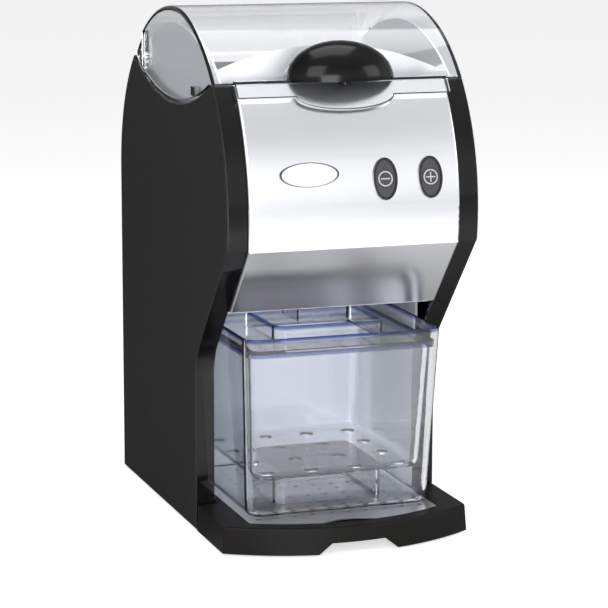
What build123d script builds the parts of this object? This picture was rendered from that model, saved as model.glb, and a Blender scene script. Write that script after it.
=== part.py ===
"""Electric countertop ice crusher: two black side panels, a bowed steel front,
a clear hinged hopper lid, a geared crushing rotor, a clear drawer bin with a
drain basket and a drip tray.  Millimetres, +Z up, the front faces -Y, the
origin is at the centre of the footprint on the table."""
import os
from math import acos, asin, atan2, cos, degrees, hypot, pi, radians, sin, sqrt, tan

from build123d import *

os.makedirs("parts", exist_ok=True)

# ---------------------------------------------------------------- sizes (mm)
width = 230.0                 # over the two side panels
y_back = 179.5                # rear face of the machine
panel_lift = 2.0              # the panels hang this far above the table
skin = 3.0                    # side panel skin and front rim thickness
rim_width = 18.0              # width of the glossy front rim of a side panel
fit_gap = 0.2                 # between sheets that lie against each other
run_gap = 0.3                 # between pieces that move past each other

# side outline
column_front_y = -65.0        # front edge of the rear column
bend_z = 160.0                # where the column edge leans forward
bend_r = 45.0
front_arc_y, front_arc_z, front_arc_r = 21.8, 292.0, 182.3
nose_z = 269.0
nose_r = 5.0
panel_top_z = 406.0           # front corner, under the lid
rear_arc_r = 146.0
rear_arc_z = 302.0
rear_corner_z = 412.6
dip_y, dip_z, dip_r = -3.6, 658.0, 278.0   # hollow curve under the lid
groove_w, groove_d = 7.5, 0.7              # step along the column's front edge
edge_round = 1.4

# steel front
front_proud = 3.0             # stands in front of the rims
front_side_gap = 0.5          # beside the rims
front_sheet = 1.2
front_fold = 15.0             # depth of its folded edges
front_edge_r = 2.4
front_deck_gap = 0.4          # above the deck
front_top_gap = 0.5           # below the panels' corners

# buttons and badge
button_z = 326.0
button_xs = (27.1, 68.9)
bezel_w, bezel_h = 22.2, 36.5
bezel_wall = 1.9
bezel_proud = 1.5
bezel_deep = 12.0
button_proud = 1.0
button_thick = 8.0
button_travel = 2.5
mark_r = 6.6
mark_line = 1.0
mark_raise = 0.3
switch_deep, switch_pin_r = 14.0, 3.0
badge_x, badge_z = -41.5, 332.0
badge_w, badge_h, badge_thick = 53.4, 21.0, 1.2

# lid
lid_y = 3.4                   # crown of the lid
lid_rise = 60.1               # crown above the panels' front corners
lid_front_lap = 1.85          # its front edge stands in front of the rims
lid_rear_gap = 1.3            # its rear edge lies in front of the panels' rear corners
lid_rear_edge = 3.7           # height of its rear edge
lid_roof, lid_wall = 4.0, 3.5
lid_dip_gap = 5.0             # lower edge above the panels' hollow curve
ear_gap, ear_wall = 0.4, 3.6  # hinge ears inside the skins
pivot_in, pivot_up = 21.0, 0.4   # pivot in front of the rear edge and above the rear corners
pivot_r = 3.0
ear_low = 2.9                  # ear below the pivot hole
pivot_clear = 0.05
pivot_head_r, pivot_head_t = 6.5, 2.4
skirt_gap, skirt_thick = 1.7, 3.0
skirt_up, skirt_down = 3.5, 10.0
tab_half, tab_drop = 44.0, 11.0
knob_half, knob_r = 48.7, 33.0
knob_up, knob_back = 3.0, 0.7    # its flat side above, its axis behind the panels' corners
knob_foot_r = 5.0
magnet_y, magnet_l, magnet_h, magnet_t = -60.0, 12.0, 8.0, 4.0

# hopper and crusher
plate_t, plate_gap = 2.0, 1.5    # hopper side plates, inside the hinge ears
plate_crown_gap, plate_front_gap, plate_rear_gap = 11.6, 4.8, 5.0   # below the lid's roof
plate_crown_back = 6.6           # their crown lies behind the lid's
plate_front_in, plate_rear_in = 8.2, 6.5       # from the panels' corners and the pivot
plate_low_up = 10.0
plate_eye_r = 9.0                # ear of the plate round the pivot
hopper_sheet = 2.0
hopper_down = 12.0               # top of the pan below the panels' corners
pan_front_in, pan_rear_in = 8.0, 30.0
pan_seat = 2.0
guard_y, guard_t = -80.0, 1.5
guard_gap, guard_fall = 4.0, 22.0
rotor_y, rotor_z = -40.0, 298.0
chamber_r, chamber_wall = 36.0, 6.0
crusher_up = 42.0                # top of the crusher above the rotor's axis
crusher_end = 8.0                # thickness of its end walls
crusher_leg = 6.0
throat_half_y = 28.0
drum_r, drum_gap = 20.0, 2.0
tooth_reach, tooth_wide, tooth_long = 33.0, 8.0, 10.0
tooth_rings, teeth_per_ring = 5, 4
tooth_end = 3.0                  # drum left free at its ends
shaft_r = 8.0
shaft_over = 6.0
bearing_r = 13.0
comb_gap, comb_end, comb_h, comb_bar, comb_bar_h = 2.5, 8.0, 16.0, 6.0, 12.0

# gear train
gear_module = 2.5
rotor_teeth, idler_teeth, pinion_teeth = 40, 40, 18
gear_face, gear_side_gap, gear_plate_gap = 10.0, 3.5, 4.0
hub_over, gear_end = 1.5, 3.0
backlash = 0.35
gear_plate_t, gear_plate_up = 4.0, 32.0
motor_y, motor_r, motor_lift = 118.0, 46.0, 5.0
motor_length, motor_nose_r = 138.0, 18.0
motor_shaft_r, motor_shaft_in = 6.0, 12.0
motor_foot_in, motor_foot_w = 20.0, 50.0
stud_r, stud_head_t = 6.0, 1.5

# chassis
base_t = 2.0
deck_z, deck_t = 204.0, 3.0
bay_sheet = 2.0
bay_back_y = 61.5
back_sheet = 2.0
back_recess = 2.0             # the rear panel lies this far inside the skins
back_top_gap = 7.6            # below the rear corners, where the lid swings
foot_r, foot_in, foot_end = 9.0, 30.0, 19.0
inlet_in, inlet_z = 42.0, 50.0
inlet_w, inlet_h, inlet_deep = 27.4, 20.0, 26.0
inlet_hole_w, inlet_hole_h, inlet_hole_deep = 24.0, 16.6, 16.0
vent_z, vent_w, vent_h, vent_pitch_x, vent_pitch_z, vent_rows = 250.0, 46.0, 3.6, 60.0, 10.0, 6
screw_zs, screw_in, screw_r, screw_t = (30.0, 150.0, 270.0), 8.0, 3.2, 1.4
cap_x, cap_y, cap_r, cap_h = 60.0, 130.0, 18.0, 80.0
board_w, board_h, board_t, board_z = 120.0, 90.0, 8.0, 120.0

# spout under the deck
spout_half_x, spout_long, spout_fore = 24.5, 40.0, 40.5
spout_wall = 2.0
spout_drop = 14.0
spout_flange = 7.0
spout_notch_r = 8.0
chute_seat = 1.5

# drip tray
tray_front_y, tray_corner_y = -179.5, -145.0
tray_rear_gap = 4.0           # in front of the columns
tray_top_z = 25.4
tray_wall = 3.0
tray_floor = 2.5
tray_flare_side, tray_flare_front = 1.2, 4.3
tongue_side_gap, tongue_rear_gap = 3.0, 6.5
grille_in, grille_corner_in, grille_front_in, grille_rear_in = 8.5, 6.0, 18.0, 5.0
grille_sheet, grille_drop = 1.2, 0.4
grille_seat = 3.5
grille_hole, grille_mid_y = 5.0, -48.0
grille_pitch_x, grille_pitch_y, grille_columns, grille_rows = 17.0, 16.0, 10, 11
finger_depth, finger_half = 11.5, 31.0
notch_half, notch_top_half, notch_h, notch_deep = 38.0, 24.0, 10.0, 14.0

# bin
bin_headroom = 16.0           # rim below the deck
bin_side_gap, bin_draft = 5.3, 6.1
bin_top_front, bin_front_draft = -142.4, 11.4
bin_rear_gap, bin_rear_draft = 9.5, 5.0
bin_wall = 3.0
bin_corner_r = 14.0
pedestal_half_x, pedestal_front_in, pedestal_rear_in = 51.0, 31.0, 55.0
pedestal_up = 31.8
pedestal_r, pedestal_round = 10.0, 3.0
bin_foot_r = 8.0              # round lower edge of the bin
bin_rim_r = 1.0
basket_down, basket_flange_t = 17.0, 3.0
basket_gap = 0.6
basket_step = 3.6
basket_draft = 5.0
basket_wall = 2.5
basket_corner_r, basket_foot_r = 12.0, 9.0
drain_r, drain_pitch_x, drain_pitch_y, drain_count = 6.5, 41.5, 43.0, 4
gate_ring_r, gate_r, gate_line, gate_deep = 17.0, 6.0, 1.0, 0.4   # moulding rings in the basket's floor
cover_t = 2.5
cover_wall_half, cover_front_in, cover_rear_in = 52.0, 38.9, 22.5
cover_wall_up = 2.5
cover_wall_r = 12.0
cover_hole_in = 3.0

# ------------------------------------------------------------ derived values
half = width / 2
inner_x = half - skin                            # inside face of a panel skin
base_z = panel_lift + skin                       # base plate underside
base_top = base_z + base_t
deck_top = deck_z + deck_t
back_y = y_back - back_recess                    # outer face of the rear panel
rear_arc_y = y_back - rear_arc_r
rear_corner_y = rear_arc_y + sqrt(rear_arc_r**2 - (rear_corner_z - rear_arc_z) ** 2)
back_top_z = rear_corner_z - back_top_gap
slant_turn = atan2(-(front_arc_y - sqrt(front_arc_r**2 - (nose_z - front_arc_z) ** 2) - column_front_y),
                   nose_z - bend_z)              # lean of the slanted edge from upright
front_low_z = deck_top + front_deck_gap
front_top_z = panel_top_z - front_top_gap

# lid: two arcs that meet level at the crown
lid_low = panel_top_z + run_gap
lid_top_z = panel_top_z + lid_rise
lid_front_edge_y = front_arc_y - sqrt(front_arc_r**2 - (lid_low - front_arc_z) ** 2) - lid_front_lap
lid_front_r = ((lid_y - lid_front_edge_y) ** 2 + (lid_top_z - lid_low) ** 2) / (2 * (lid_top_z - lid_low))
lid_rear_y = rear_corner_y - lid_rear_gap
lid_tip_z = rear_corner_z + fit_gap
lid_rear_fall = lid_top_z - lid_tip_z - lid_rear_edge
lid_rear_r = ((lid_rear_y - lid_y) ** 2 + lid_rear_fall**2) / (2 * lid_rear_fall)
lid_low_r = dip_r - lid_dip_gap
pivot_y, pivot_z = lid_rear_y - pivot_in, rear_corner_z + pivot_up
skirt_top_z, skirt_low_z = panel_top_z + skirt_up, panel_top_z - skirt_down
knob_z = panel_top_z + knob_up
knob_axis_y = lid_front_edge_y + lid_front_lap + knob_back
ear_half = inner_x - ear_gap                     # hinge ears pass inside the skins

# hopper, crusher and gears, from the hinge ears inwards
plate_out = ear_half - ear_wall - plate_gap
plate_x = plate_out - plate_t
gear_x = plate_x - gear_side_gap - gear_end - 2 - gear_face
crusher_half_x = gear_x - gear_plate_gap - gear_plate_t
throat_half_x = crusher_half_x - crusher_end
drum_half = throat_half_x - drum_gap
tooth_pitch = 2 * (drum_half - tooth_end) / tooth_rings
crusher_half_y = chamber_r + chamber_wall
crusher_low_z, crusher_top_z = rotor_z - chamber_r, rotor_z + crusher_up
hopper_top_z, hopper_low_z = panel_top_z - hopper_down, crusher_top_z + pan_seat
motor_z = deck_top + motor_r + motor_lift

# bay, spout, tray and bin
bay_half = half - rim_width
spout_front_y = rotor_y - spout_fore
spout_rear_y = spout_front_y + spout_long
spout_low_z = deck_z - spout_drop
inlet_x = inlet_in - inner_x
tray_rear_y = column_front_y - tray_rear_gap
tongue_half, tongue_rear_y = bay_half - tongue_side_gap, bay_back_y - tongue_rear_gap
grille_half, grille_corner_y = bay_half - grille_in, tray_corner_y + grille_corner_in
grille_front_y, grille_rear_y = tray_front_y + grille_front_in, tongue_rear_y - grille_rear_in
grille_top_z = tray_top_z - grille_drop
bin_low_z = tray_top_z + run_gap                 # the bin slides out over the tray's rim
bin_top_z = deck_z - bin_headroom
bin_top_half = bay_half - bin_side_gap
bin_low_half = bin_top_half - bin_draft
bin_low_front = bin_top_front + bin_front_draft
bin_top_rear = bay_back_y - bin_rear_gap
bin_low_rear = bin_top_rear - bin_rear_draft
pedestal_front_y, pedestal_rear_y = bin_low_front + pedestal_front_in, bin_low_rear - pedestal_rear_in
pedestal_top_z = bin_low_z + pedestal_up
basket_flange_z = bin_top_z - basket_down
cover_wall_front, cover_wall_rear = bin_top_front + cover_front_in, spout_rear_y + cover_rear_in
cover_wall_top = bin_top_z + cover_wall_up


def arc_y(inset, z):
    """Y of the bowed front, moved back by inset, at height z."""
    return front_arc_y - sqrt((front_arc_r - inset) ** 2 - (z - front_arc_z) ** 2)


def slant_y(inset, z):
    """Y of the slanted lower front, moved back by inset, at height z."""
    return column_front_y - (z - bend_z) * tan(slant_turn) + inset / cos(slant_turn)


def nose_at(inset):
    """Where the bowed and the slanted front meet."""
    low, high = nose_z - 30, front_arc_z
    for _ in range(60):
        mid = (low + high) / 2
        if arc_y(inset, mid) < slant_y(inset, mid):
            low = mid
        else:
            high = mid
    return (slant_y(inset, low), low)


def bend_at(inset):
    return (column_front_y + inset, bend_z + inset * tan(slant_turn / 2))


def lid_arc_z(y, inset):
    """Height of the lid's roof, inset inwards, at y."""
    r = (lid_front_r if y < lid_y else lid_rear_r)
    return lid_top_z - r + sqrt((r - inset) ** 2 - (y - lid_y) ** 2)


def lid_front_y(z, inset):
    """Y of the lid's front, inset inwards, at height z."""
    return lid_y - sqrt((lid_front_r - inset) ** 2 - (z - lid_top_z + lid_front_r) ** 2)


def dip_at(y, r):
    return dip_z - sqrt(r**2 - (y - dip_y) ** 2)


def gear_points(teeth, phase):
    """Outline of an involute spur gear, one tooth centred on the phase angle."""
    rp = gear_module * teeth / 2
    rb = rp * cos(radians(20))
    ra, rf = rp + 0.9 * gear_module, rp - 1.2 * gear_module
    half_p = pi / (2 * teeth) - backlash / (4 * rp)
    inv = lambda a: tan(a) - a
    start = max(rb, rf)
    radii = [start + (ra - start) * k / 4 for k in range(5)]
    widths = [half_p + inv(radians(20)) - inv(acos(min(1.0, rb / r))) for r in radii]
    points = []
    for tooth in range(teeth):
        centre = radians(phase) + 2 * pi * tooth / teeth
        flank = [(rf, widths[0])] + list(zip(radii, widths)) if rf < rb - 0.05 else list(zip(radii, widths))
        for r, w in flank:
            points.append((r * cos(centre - w), r * sin(centre - w)))
        for r, w in reversed(flank):
            points.append((r * cos(centre + w), r * sin(centre + w)))
    return points


def mesh_phase(teeth_a, phase_a, teeth_b, toward):
    """Phase of gear b so that it meshes with gear a, which lies the other way."""
    share = teeth_a * (toward - phase_a) / 360.0
    return toward + 180.0 - 360.0 / teeth_b * (0.5 - share)


# centres of the gear train, seen along X: (y, z)
rotor_pitch_r = gear_module * rotor_teeth / 2
idler_pitch_r = gear_module * idler_teeth / 2
pinion_pitch_r = gear_module * pinion_teeth / 2
first_gap, second_gap = rotor_pitch_r + idler_pitch_r, idler_pitch_r + pinion_pitch_r
direct = hypot(motor_y - rotor_y, motor_z - rotor_z)
lean = atan2(motor_z - rotor_z, motor_y - rotor_y)
lift = acos((first_gap**2 + direct**2 - second_gap**2) / (2 * first_gap * direct))
idler_y = rotor_y + first_gap * cos(lean + lift)
idler_z = rotor_z + first_gap * sin(lean + lift)
to_idler = degrees(lean + lift)
to_pinion = degrees(atan2(motor_z - idler_z, motor_y - idler_y))
rotor_phase = 0.0
idler_phase = mesh_phase(rotor_teeth, rotor_phase, idler_teeth, to_idler)
pinion_phase = mesh_phase(idler_teeth, idler_phase, pinion_teeth, to_pinion)
print("idler centre", round(idler_y, 3), round(idler_z, 3))

made = []


def keep(piece, name):
    piece.part.label = name
    export_step(piece.part, "parts/" + name + ".step")
    made.append(name)


# ------------------------------------------------------------- side panels
# A moulded skin with a wide front rim and a narrow foot flange.
with BuildPart() as side_panel_right:
    with BuildSketch(Plane.YZ.offset(inner_x - (rim_width - skin))):
        with BuildLine():
            rear_corner = (rear_corner_y, rear_corner_z)
            nose = nose_at(0)
            FilletPolyline((y_back, panel_lift), (column_front_y, panel_lift), bend_at(0), nose,
                           radius=(0.6, bend_r))
            top = (arc_y(0, panel_top_z), panel_top_z)
            ThreePointArc(nose, (arc_y(0, (nose[1] + panel_top_z) / 2), (nose[1] + panel_top_z) / 2), top)
            Line(top, (top[0] + 8, panel_top_z))
            dip_start = (top[0] + 8, panel_top_z)
            mid_y = (dip_start[0] + rear_corner[0]) / 2
            # the hollow curve is drawn through three of its own points
            ThreePointArc(dip_start, (mid_y, dip_at(mid_y, dip_r)), rear_corner)
            turn = asin((rear_corner_z - rear_arc_z) / rear_arc_r)
            ThreePointArc(rear_corner,
                          (rear_arc_y + rear_arc_r * cos(turn / 2), rear_arc_z + rear_arc_r * sin(turn / 2)),
                          (y_back, rear_arc_z))
            Line((y_back, rear_arc_z), (y_back, panel_lift))
        make_face()
    extrude(amount=rim_width)
    fillet(side_panel_right.edges().filter_by(GeomType.LINE).filter_by(Axis.X)
           .sort_by_distance((half, nose[0], nose[1]))[0], nose_r)
    # hollow behind the rim, open to the rear and to the top
    with BuildSketch(Plane.YZ.offset(inner_x - (rim_width - skin) - 1)):
        with BuildLine():
            nose_in = nose_at(skin)
            top_in = (arc_y(skin, panel_top_z + 12), panel_top_z + 12)
            FilletPolyline((y_back + 5, base_z), (column_front_y + skin, base_z), bend_at(skin), nose_in,
                           radius=(0.6, bend_r + skin))
            mid_z = (nose_in[1] + top_in[1]) / 2
            ThreePointArc(nose_in, (arc_y(skin, mid_z), mid_z), top_in)
            Polyline(top_in, (y_back + 5, panel_top_z + 12), (y_back + 5, base_z))
        make_face()
    extrude(amount=rim_width - skin + 1, mode=Mode.SUBTRACT)
    # shallow step along the inner half of the column's front edge
    with BuildSketch(Plane.XY.offset(panel_lift - 1)):
        with Locations((half - rim_width, column_front_y)):
            Rectangle(groove_w, 2 * groove_d, align=(Align.MIN, Align.CENTER))
    extrude(amount=bend_z - 10, mode=Mode.SUBTRACT)
    # soft outer edge all round
    fillet(side_panel_right.faces().sort_by(Axis.X)[-1].edges(), edge_round)
keep(side_panel_right, "side_panel_right")

with BuildPart() as side_panel_left:
    mirror(side_panel_right.part, about=Plane.YZ)
keep(side_panel_left, "side_panel_left")


# -------------------------------------------------------------- steel front
def front_block(inset_front, inset_back, low, high, half_x):
    """Closed outline of the bowed front between two insets, as a face in YZ."""
    with BuildSketch(Plane.YZ.offset(-half_x), mode=Mode.PRIVATE) as face:
        with BuildLine():
            n1, n2 = nose_at(inset_front), nose_at(inset_back)
            a = (slant_y(inset_front, low), low)
            b = (arc_y(inset_front, high), high)
            c = (arc_y(inset_back, high), high)
            d = (slant_y(inset_back, low), low)
            m1, m2 = (n1[1] + high) / 2, (n2[1] + high) / 2
            Line(a, n1)
            ThreePointArc(n1, (arc_y(inset_front, m1), m1), b)
            Line(b, c)
            ThreePointArc(c, (arc_y(inset_back, m2), m2), n2)
            Polyline(n2, d, a)
        make_face()
    return face.sketch


front_half = half - rim_width - front_side_gap
button_tilt = asin((button_z - front_arc_z) / (front_arc_r + front_proud))
badge_tilt = asin((badge_z - front_arc_z) / (front_arc_r + front_proud))


def on_front(x, tilt, out):
    """Plane that faces outwards on the bowed steel, moved out along its normal."""
    r = front_arc_r + front_proud + out
    return Plane(origin=(x, front_arc_y - r * cos(tilt), front_arc_z + r * sin(tilt)),
                 x_dir=(1, 0, 0), z_dir=(0, -cos(tilt), sin(tilt)))


def long_edges(piece, inset, half_x):
    """The two long outer edges of a bowed block, each an arc and a slanted line."""
    def outer(e):
        p = e @ 0.5
        on_face = min(abs(p.Y - arc_y(inset, p.Z)), abs(p.Y - slant_y(inset, p.Z))) < 0.02
        return abs(abs(p.X) - half_x) < 0.01 and e.length > 20 and on_face
    return piece.edges().filter_by(outer)


with BuildPart() as front_hollow:
    extrude(front_block(front_sheet - front_proud, front_fold, front_low_z + front_sheet,
                        front_top_z - front_sheet, front_half - front_sheet),
            amount=2 * (front_half - front_sheet), dir=(1, 0, 0))
    fillet(long_edges(front_hollow, front_sheet - front_proud, front_half - front_sheet),
           front_edge_r - front_sheet)

with BuildPart() as front_panel:
    extrude(front_block(-front_proud, front_fold - front_proud, front_low_z, front_top_z, front_half),
            amount=2 * front_half, dir=(1, 0, 0))
    fillet(long_edges(front_panel, -front_proud, front_half), front_edge_r)
    add(front_hollow.part, mode=Mode.SUBTRACT)
    for x in button_xs:
        with BuildSketch(on_front(x, button_tilt, 4)):
            Ellipse(bezel_w / 2 + fit_gap / 2, bezel_h / 2 + fit_gap / 2)
        extrude(amount=-12, mode=Mode.SUBTRACT)
keep(front_panel, "front_panel")

# bare oval plate, bowed like the steel under it
with BuildPart() as badge_plate:
    with BuildSketch(on_front(badge_x, badge_tilt, 4)):
        Ellipse(badge_w / 2, badge_h / 2)
    extrude(amount=-8)
    with BuildSketch(Plane.YZ.offset(badge_x - badge_w)):
        with Locations((front_arc_y, front_arc_z)):
            Circle(front_arc_r + front_proud + badge_thick)
            Circle(front_arc_r + front_proud, mode=Mode.SUBTRACT)
    extrude(amount=2 * badge_w, mode=Mode.INTERSECT)
keep(badge_plate, "badge_plate")

# ------------------------------------------------------ buttons and switches
buttons, bezels, marks, switches = [], [], [], []
for x, name in zip(button_xs, ("minus", "plus")):
    with BuildPart() as bezel:
        with BuildSketch(on_front(x, button_tilt, bezel_proud)):
            Ellipse(bezel_w / 2, bezel_h / 2)
            Ellipse(bezel_w / 2 - bezel_wall, bezel_h / 2 - bezel_wall, mode=Mode.SUBTRACT)
        extrude(amount=-(bezel_proud + bezel_deep))
    keep(bezel, "button_bezel_" + name)

    with BuildPart() as button:
        with BuildSketch(on_front(x, button_tilt, button_proud)):
            Ellipse(bezel_w / 2 - bezel_wall - run_gap, bezel_h / 2 - bezel_wall - run_gap)
        extrude(amount=-button_thick)
        with BuildSketch(on_front(x, button_tilt, button_proud)):
            Circle(mark_r + 1.6)
            Circle(mark_r + 1.0, mode=Mode.SUBTRACT)
        extrude(amount=-0.4, mode=Mode.SUBTRACT)
    keep(button, "button_" + name)

    with BuildPart() as mark:
        with BuildSketch(on_front(x, button_tilt, button_proud)):
            Circle(mark_r)
            Circle(mark_r - mark_line, mode=Mode.SUBTRACT)
            Rectangle(1.3 * mark_r, mark_line)
            if name == "plus":
                Rectangle(mark_line, 1.3 * mark_r)
        extrude(amount=mark_raise)
    keep(mark, "button_mark_" + name)

    with BuildPart() as switch:
        with BuildSketch(on_front(x, button_tilt, -bezel_deep)):
            Rectangle(bezel_w - 1, bezel_h - 1)
        extrude(amount=-switch_deep)
        with BuildSketch(on_front(x, button_tilt, -bezel_deep)):
            Circle(switch_pin_r)
        extrude(amount=bezel_deep + button_proud - button_thick - button_travel - run_gap)
        with BuildSketch(on_front(x, button_tilt, -bezel_deep - switch_deep)):
            with GridLocations(8, 12, 2, 2):
                Rectangle(0.8, 4)
        extrude(amount=-7)
    keep(switch, "switch_" + name)

# ---------------------------------------------------------------------- lid
lid_half = half
step_y = pivot_y - pivot_head_r - 0.5           # the flush walls end here


def lens(plane_x):
    """Side outline of the lid, in YZ, at the given x."""
    with BuildSketch(Plane.YZ.offset(plane_x), mode=Mode.PRIVATE) as face:
        with BuildLine():
            front = (lid_front_y(lid_low, 0), lid_low)
            apex = (lid_y, lid_top_z)
            rear = (lid_rear_y, lid_arc_z(lid_rear_y, 0))
            mid_f = (front[0] + lid_y) / 2
            mid_r = (rear[0] + lid_y) / 2
            ThreePointArc(front, (mid_f, lid_arc_z(mid_f, 0)), apex)
            ThreePointArc(apex, (mid_r, lid_arc_z(mid_r, 0)), rear)
            tip = (lid_rear_y, lid_tip_z)
            low_rear = (pivot_y - 2.5, pivot_z - pivot_r - ear_low)
            low_front_y = dip_y - sqrt(lid_low_r**2 - (dip_z - lid_low) ** 2)
            Line(rear, tip)
            Line(tip, low_rear)
            mid_l = (low_rear[0] + low_front_y) / 2
            ThreePointArc(low_rear, (mid_l, dip_at(mid_l, lid_low_r)), (low_front_y, lid_low))
            Line((low_front_y, lid_low), front)
        make_face()
    return face.sketch


def under_roof(plane_x, rear_limit):
    """Hollow under the roof, in YZ, up to the given y."""
    with BuildSketch(Plane.YZ.offset(plane_x), mode=Mode.PRIVATE) as face:
        with BuildLine():
            front = (lid_front_y(lid_low - 1, lid_roof), lid_low - 1)
            apex = (lid_y, lid_top_z - lid_roof)
            rear = (rear_limit, lid_arc_z(rear_limit, lid_roof))
            mid_f = (front[0] + lid_y) / 2
            mid_r = (rear[0] + lid_y) / 2
            ThreePointArc(front, (mid_f, lid_arc_z(mid_f, lid_roof)), apex)
            ThreePointArc(apex, (mid_r, lid_arc_z(mid_r, lid_roof)), rear)
            Polyline(rear, (rear_limit, 370), (front[0], 370), front)
        make_face()
    return face.sketch


skirt_in, skirt_out = -front_proud - skirt_gap, -front_proud - skirt_gap - skirt_thick
skirt_half = front_half + 0.2

with BuildPart() as lid_tab:
    with BuildSketch(Plane.YZ.offset(-tab_half)):
        with BuildLine():
            z1, z2 = skirt_low_z + 4, skirt_low_z - tab_drop - 2
            zm = (z1 + z2) / 2
            ThreePointArc((arc_y(skirt_out, z1), z1), (arc_y(skirt_out, zm), zm), (arc_y(skirt_out, z2), z2))
            Line((arc_y(skirt_out, z2), z2), (arc_y(skirt_in, z2), z2))
            ThreePointArc((arc_y(skirt_in, z2), z2), (arc_y(skirt_in, zm), zm), (arc_y(skirt_in, z1), z1))
            Line((arc_y(skirt_in, z1), z1), (arc_y(skirt_out, z1), z1))
        make_face()
    extrude(amount=2 * tab_half)
    with BuildSketch(Plane.XZ.offset(60)):
        with Locations((0, skirt_low_z)):
            Ellipse(tab_half, tab_drop)
    extrude(amount=140, mode=Mode.INTERSECT)

with BuildPart() as lid_shell:
    extrude(lens(-ear_half), amount=2 * ear_half, dir=(1, 0, 0))
    extrude(lens(-lid_half), amount=2 * lid_half, dir=(1, 0, 0))
    # the wide walls stop in front of the pivot
    for side in (-1, 1):
        with BuildSketch(Plane.XY.offset(380)):
            with Locations((side * (ear_half + 5), step_y)):
                Rectangle(10, 60, align=(Align.CENTER, Align.MIN))
        extrude(amount=100, mode=Mode.SUBTRACT)
    fillet(lid_shell.edges().filter_by(GeomType.CIRCLE)
           .filter_by(lambda e: abs(abs(e.center().X) - lid_half) < 0.01 and e.center().Z > 430), 3.0)
    extrude(under_roof(-(ear_half - ear_wall), lid_rear_y + 5), amount=2 * (ear_half - ear_wall),
            dir=(1, 0, 0), mode=Mode.SUBTRACT)
    extrude(under_roof(-(lid_half - lid_wall), step_y - 8), amount=2 * (lid_half - lid_wall),
            dir=(1, 0, 0), mode=Mode.SUBTRACT)
    # front ledge and skirt
    with BuildSketch(Plane.YZ.offset(-skirt_half)):
        with BuildLine():
            z1, z2 = skirt_top_z, skirt_low_z
            z3 = skirt_top_z - skirt_thick
            zm, zn = (z1 + z2) / 2, (z3 + z2) / 2
            ThreePointArc((arc_y(skirt_out, z1), z1), (arc_y(skirt_out, zm), zm), (arc_y(skirt_out, z2), z2))
            Line((arc_y(skirt_out, z2), z2), (arc_y(skirt_in, z2), z2))
            ThreePointArc((arc_y(skirt_in, z2), z2), (arc_y(skirt_in, zn), zn), (arc_y(skirt_in, z3), z3))
            Polyline((arc_y(skirt_in, z3), z3), (lid_front_y(z3, 1.5), z3), (lid_front_y(z3, 1.5), z1),
                     (arc_y(skirt_out, z1), z1))
        make_face()
    extrude(amount=2 * skirt_half)
    add(lid_tab.part)
    # pivot holes
    with BuildSketch(Plane.YZ.offset(-half - 1)):
        with Locations((pivot_y, pivot_z)):
            Circle(pivot_r + pivot_clear)
    extrude(amount=width + 2, mode=Mode.SUBTRACT)
keep(lid_shell, "lid_shell")

# half-dome grip that lies on the roof and the ledge
with BuildPart() as lid_knob:
    with BuildSketch(Plane.XZ.offset(-knob_axis_y)):
        with BuildLine():
            EllipticalCenterArc((0, knob_z), knob_half, knob_r, start_angle=0, arc_size=180)
            Line((-knob_half, knob_z), (knob_half, knob_z))
        make_face()
    revolve(axis=Axis((0, knob_axis_y, knob_z), (1, 0, 0)), revolution_arc=360)
    with BuildSketch(Plane.XY.offset(knob_z)):
        with Locations((0, knob_axis_y)):
            Rectangle(120, 120)
    extrude(amount=-60, mode=Mode.SUBTRACT)
    with BuildSketch(Plane.XY.offset(knob_z)):
        with Locations((0, arc_y(skirt_out, knob_z) - knob_foot_r - fit_gap)):
            Circle(knob_foot_r)
    extrude(amount=-4)
    # the space under the roof stays free, and the grip lies on the shell
    extrude(under_roof(-knob_half - 5, lid_rear_y), amount=2 * knob_half + 10, dir=(1, 0, 0),
            mode=Mode.SUBTRACT)
    with BuildSketch(Plane.XY.offset(knob_z - 10)):
        with Locations((0, arc_y(skirt_in, knob_z))):
            Rectangle(120, 100, align=(Align.CENTER, Align.MIN))
    extrude(amount=skirt_top_z - knob_z + 10 - 0.5, mode=Mode.SUBTRACT)
    add(lid_shell.part, mode=Mode.SUBTRACT)
keep(lid_knob, "lid_knob")

# magnet in the left wall that tells the controls that the lid is shut
with BuildPart() as lid_magnet:
    with BuildSketch(Plane.YZ.offset(-(lid_half - lid_wall))):
        with Locations((magnet_y, dip_at(magnet_y, lid_low_r) + magnet_h / 2 + 1)):
            Rectangle(magnet_l, magnet_h)
    extrude(amount=magnet_t)
keep(lid_magnet, "lid_magnet")

# ----------------------------------------------------------- hopper and guard
yf, yr, z_low = knob_axis_y - knob_back + plate_front_in, pivot_y - plate_rear_in, hopper_low_z + plate_low_up
plate_y, plate_crown = lid_y + plate_crown_back, lid_top_z - lid_roof - plate_crown_gap


def plate_arc(y_end, z_end):
    """Middle point of an arc that starts level at the plate's crown and ends at the given point."""
    fall = plate_crown - z_end
    r = ((y_end - plate_y) ** 2 + fall**2) / (2 * fall)
    y = (plate_y + y_end) / 2
    return (y, plate_crown - r + sqrt(r**2 - (y - plate_y) ** 2))


with BuildPart() as hopper_side_right:
    with BuildSketch(Plane.YZ.offset(plate_x)):
        with BuildLine():
            plate_front = (yf, lid_arc_z(yf, lid_roof) - plate_front_gap)
            plate_rear = (yr, lid_arc_z(yr, lid_roof) - plate_rear_gap)
            Polyline(plate_rear, (yr, z_low), (yf, z_low), plate_front)
            ThreePointArc(plate_front, plate_arc(*plate_front), (plate_y, plate_crown))
            ThreePointArc((plate_y, plate_crown), plate_arc(*plate_rear), plate_rear)
        make_face()
        with Locations((pivot_y, pivot_z)):
            Circle(plate_eye_r)
    extrude(amount=plate_t)
keep(hopper_side_right, "hopper_side_right")

with BuildPart() as hopper_side_left:
    mirror(hopper_side_right.part, about=Plane.YZ)
keep(hopper_side_left, "hopper_side_left")

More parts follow.
